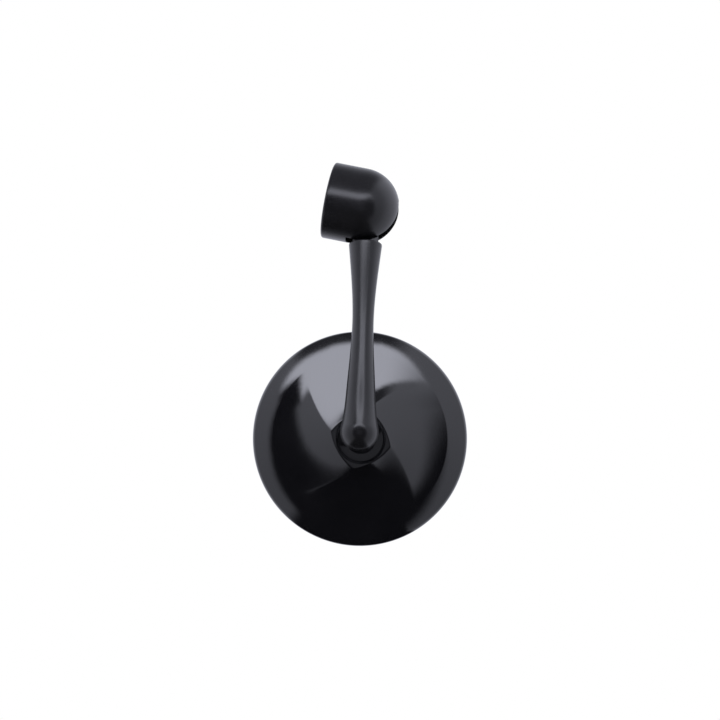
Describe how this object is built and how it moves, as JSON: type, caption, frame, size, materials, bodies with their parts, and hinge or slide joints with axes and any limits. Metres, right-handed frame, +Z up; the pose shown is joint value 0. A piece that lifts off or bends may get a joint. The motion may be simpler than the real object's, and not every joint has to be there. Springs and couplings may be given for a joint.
{
  "type": "motorcycle mirror",
  "caption": "Round bar-end motorcycle mirror: domed clamp over the handlebar end, waisted swinging arm, and a swirl-backed convex mirror head on a ball joint.",
  "frame": {"origin": "on the handlebar's axis, at the mouth of the clamp's bore", "axes": "+X along the handlebar, outboard to the clamp's dome; +Z up; the head's back faces -Y"},
  "size_m": [0.0904, 0.0473, 0.1563],
  "materials": {
    "clamp_black": "satin black powder coat",
    "arm_black": "satin black powder coat",
    "shell_black": "gloss black enamel",
    "screw_steel": "black oxide steel",
    "stud_steel": "bright turned steel",
    "spring_steel": "spring steel",
    "bush_bronze": "sintered bronze",
    "seat_nylon": "natural nylon",
    "plate_abs": "moulded ABS",
    "pad_foam": "foam tape",
    "gasket_rubber": "moulded rubber",
    "mirror_silver": "silvered convex glass"
  },
  "bodies": {
    "clamp": {"bar_clamp": "clamp_black", "clamp_grub_screws": "screw_steel", "pivot_screw": "screw_steel", "pivot_spring_washer": "spring_steel", "friction_washers": "seat_nylon"},
    "arm": {"arm": "arm_black", "pivot_bush": "bush_bronze", "ball_stud": "stud_steel"},
    "front_seat": {"front_ball_seat": "seat_nylon"},
    "rear_seat": {"rear_ball_seat": "seat_nylon"},
    "head": {"mirror_shell": "shell_black", "seat_spring": "spring_steel", "retainer_plate": "stud_steel", "retainer_screws": "screw_steel", "backing_plate": "plate_abs", "backing_screws": "screw_steel", "adhesive_pad": "pad_foam", "mirror_glass": "mirror_silver", "glass_gasket": "gasket_rubber"}
  },
  "joints": [
    {"name": "arm_swing", "type": "hinge", "parent": "clamp", "child": "arm", "pos_m": [0.0164, 0, 0], "axis": [0, -0.9744, 0.225], "range_deg": [-10.5, 79.5]},
    {"name": "head_tilt", "type": "hinge", "parent": "arm", "child": "front_seat", "pos_m": [0.03366, -0.00105, -0.09533], "axis": [-0.9822, -0.0859, -0.167], "range_deg": [-7, 25]},
    {"name": "head_pan", "type": "hinge", "parent": "front_seat", "child": "rear_seat", "pos_m": [0.03366, -0.00105, -0.09533], "axis": [-0.1664, -0.0146, 0.986], "range_deg": [-19, 13]},
    {"name": "head_spin", "type": "hinge", "parent": "rear_seat", "child": "head", "pos_m": [0.03366, -0.00105, -0.09533], "axis": [0.0872, -0.9962, 0], "continuous": true}
  ]
}
